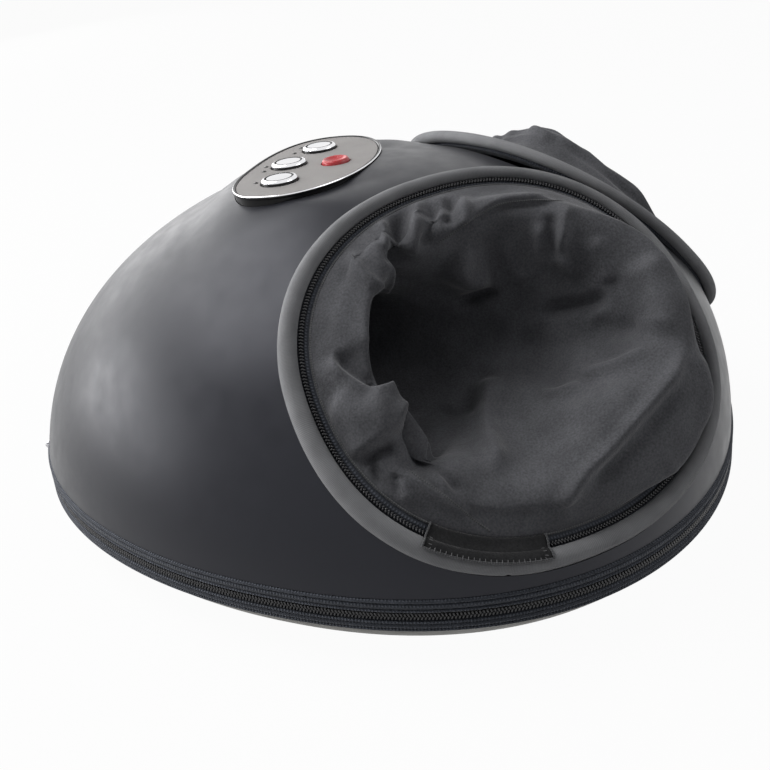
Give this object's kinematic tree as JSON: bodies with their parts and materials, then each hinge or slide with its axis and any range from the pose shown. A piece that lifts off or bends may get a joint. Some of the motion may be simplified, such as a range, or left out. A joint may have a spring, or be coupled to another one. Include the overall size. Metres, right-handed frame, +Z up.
{
  "type": "shiatsu foot massager",
  "caption": "Domed electric foot massager with slanted cloth-lined foot chambers inside padded rings, geared kneading heads under the soles, a push-button panel and a shallow zipped base tray.",
  "frame": {"origin": "on the ground plane under the middle of the bounding box", "axes": "+Z up, -Y towards the seated user and the foot openings, +Y to the back, +X to the user's right"},
  "size_m": [0.4038, 0.4436, 0.2023],
  "materials": {
    "satin_shell": "soft-touch satin, near black",
    "tray_plastic": "moulded, lightly grained",
    "zipper_tape": "woven tape",
    "zipper_coil": "nylon coil, satin",
    "steel": "brushed",
    "chrome_trim": "polished chrome",
    "panel_plate": "warm silver, satin",
    "circuit_board": "green laminate",
    "smoked_lens": "smoked, glossy",
    "red_button": "red, glossy",
    "motor_can": "zinc plated",
    "housing_plastic": "natural moulded plastic",
    "inlet_plastic": "black moulded",
    "foot_rubber": "matt rubber",
    "ring_fabric": "brushed knit over foam",
    "liner_fabric": "brushed knit, charcoal",
    "bronze": "sintered bronze",
    "gear_plastic": "natural acetal",
    "head_plastic": "grey moulded",
    "air_bag_fabric": "coated fabric",
    "hose_vinyl": "clear grey vinyl"
  },
  "bodies": {
    "root": {"dome_shell": "satin_shell", "base_tray": "tray_plastic", "upper_zipper_tape": "zipper_tape", "base_zipper_coil": "zipper_coil", "lower_zipper_tape": "zipper_tape", "base_zipper_slider": "steel", "panel_bezel": "chrome_trim", "panel_plate": "panel_plate", "panel_board": "circuit_board", "indicator_lenses": "smoked_lens", "motor": "motor_can", "motor_cradle": "housing_plastic", "air_pump": "motor_can", "valve_block": "housing_plastic", "main_board": "circuit_board", "power_inlet": "inlet_plastic", "rubber_foot_front_left": "foot_rubber", "rubber_foot_back_left": "foot_rubber", "opening_ring_left": "ring_fabric", "opening_zipper_left": "zipper_coil", "zipper_flap_left": "liner_fabric", "liner_left": "liner_fabric", "gear_case_left": "housing_plastic", "shaft_bush_left": "bronze", "foot_bed_left": "tray_plastic", "air_bag_left": "air_bag_fabric", "air_hose_left": "hose_vinyl", "rubber_foot_front_right": "foot_rubber", "rubber_foot_back_right": "foot_rubber", "opening_ring_right": "ring_fabric", "opening_zipper_right": "zipper_coil", "zipper_flap_right": "liner_fabric", "liner_right": "liner_fabric", "gear_case_right": "housing_plastic", "shaft_bush_right": "bronze", "foot_bed_right": "tray_plastic", "air_bag_right": "air_bag_fabric", "air_hose_right": "hose_vinyl"},
    "chrome_button_left": {"chrome_button_left": "chrome_trim"},
    "chrome_button_middle": {"chrome_button_middle": "chrome_trim"},
    "chrome_button_right": {"chrome_button_right": "chrome_trim"},
    "power_button": {"power_button": "red_button"},
    "worm_shaft": {"worm_shaft": "steel"},
    "base_zipper_pull": {"base_zipper_pull": "steel"},
    "kneader_left_front": {"kneading_gear_left_front": "gear_plastic", "kneading_head_left_front": "head_plastic"},
    "kneader_left_middle": {"kneading_gear_left_middle": "gear_plastic", "kneading_head_left_middle": "head_plastic", "worm_wheel_left": "gear_plastic"},
    "kneader_left_back": {"kneading_gear_left_back": "gear_plastic", "kneading_head_left_back": "head_plastic"},
    "kneader_right_front": {"kneading_gear_right_front": "gear_plastic", "kneading_head_right_front": "head_plastic"},
    "kneader_right_middle": {"kneading_gear_right_middle": "gear_plastic", "kneading_head_right_middle": "head_plastic", "worm_wheel_right": "gear_plastic"},
    "kneader_right_back": {"kneading_gear_right_back": "gear_plastic", "kneading_head_right_back": "head_plastic"}
  },
  "joints": [
    {"name": "chrome_button_left_press", "type": "slide", "parent": "root", "child": "chrome_button_left", "axis": [0, -0.0523, -0.9986], "range_m": [0, 0.001], "stiffness_N_per_m": 1500},
    {"name": "chrome_button_middle_press", "type": "slide", "parent": "root", "child": "chrome_button_middle", "axis": [0, -0.0523, -0.9986], "range_m": [0, 0.001], "stiffness_N_per_m": 1500},
    {"name": "chrome_button_right_press", "type": "slide", "parent": "root", "child": "chrome_button_right", "axis": [0, -0.0523, -0.9986], "range_m": [0, 0.001], "stiffness_N_per_m": 1500},
    {"name": "power_button_press", "type": "slide", "parent": "root", "child": "power_button", "axis": [0, -0.0523, -0.9986], "range_m": [0, 0.001], "stiffness_N_per_m": 1500},
    {"name": "kneader_left_front_spin", "type": "hinge", "parent": "root", "child": "kneader_left_front", "pos_m": [-0.1, -0.0826, 0.047], "axis": [0, 0, 1], "continuous": true},
    {"name": "kneader_left_middle_spin", "type": "hinge", "parent": "root", "child": "kneader_left_middle", "pos_m": [-0.1, -0.0106, 0.047], "axis": [0, 0, 1], "continuous": true},
    {"name": "kneader_left_back_spin", "type": "hinge", "parent": "root", "child": "kneader_left_back", "pos_m": [-0.1, 0.0614, 0.047], "axis": [0, 0, 1], "continuous": true},
    {"name": "kneader_right_front_spin", "type": "hinge", "parent": "root", "child": "kneader_right_front", "pos_m": [0.1, -0.0826, 0.047], "axis": [0, 0, 1], "continuous": true},
    {"name": "kneader_right_middle_spin", "type": "hinge", "parent": "root", "child": "kneader_right_middle", "pos_m": [0.1, -0.0106, 0.047], "axis": [0, 0, 1], "continuous": true},
    {"name": "kneader_right_back_spin", "type": "hinge", "parent": "root", "child": "kneader_right_back", "pos_m": [0.1, 0.0614, 0.047], "axis": [0, 0, 1], "continuous": true},
    {"name": "worm_spin", "type": "hinge", "parent": "root", "child": "worm_shaft", "pos_m": [0, 0.0284, 0.031], "axis": [1, 0, 0], "continuous": true},
    {"name": "base_zipper_pull_swing", "type": "hinge", "parent": "root", "child": "base_zipper_pull", "pos_m": [-0.06662, 0.21291, 0.02945], "axis": [0.9225, 0.386, 0], "range_deg": [0, 120]}
  ],
  "couplings": [
    {"joint": "worm_spin", "follows": "kneader_right_middle_spin", "ratio": -24},
    {"joint": "kneader_left_middle_spin", "follows": "kneader_right_middle_spin", "ratio": -1},
    {"joint": "kneader_right_front_spin", "follows": "kneader_right_middle_spin", "ratio": -1},
    {"joint": "kneader_right_back_spin", "follows": "kneader_right_middle_spin", "ratio": -1},
    {"joint": "kneader_left_front_spin", "follows": "kneader_right_middle_spin", "ratio": 1},
    {"joint": "kneader_left_back_spin", "follows": "kneader_right_middle_spin", "ratio": 1}
  ]
}
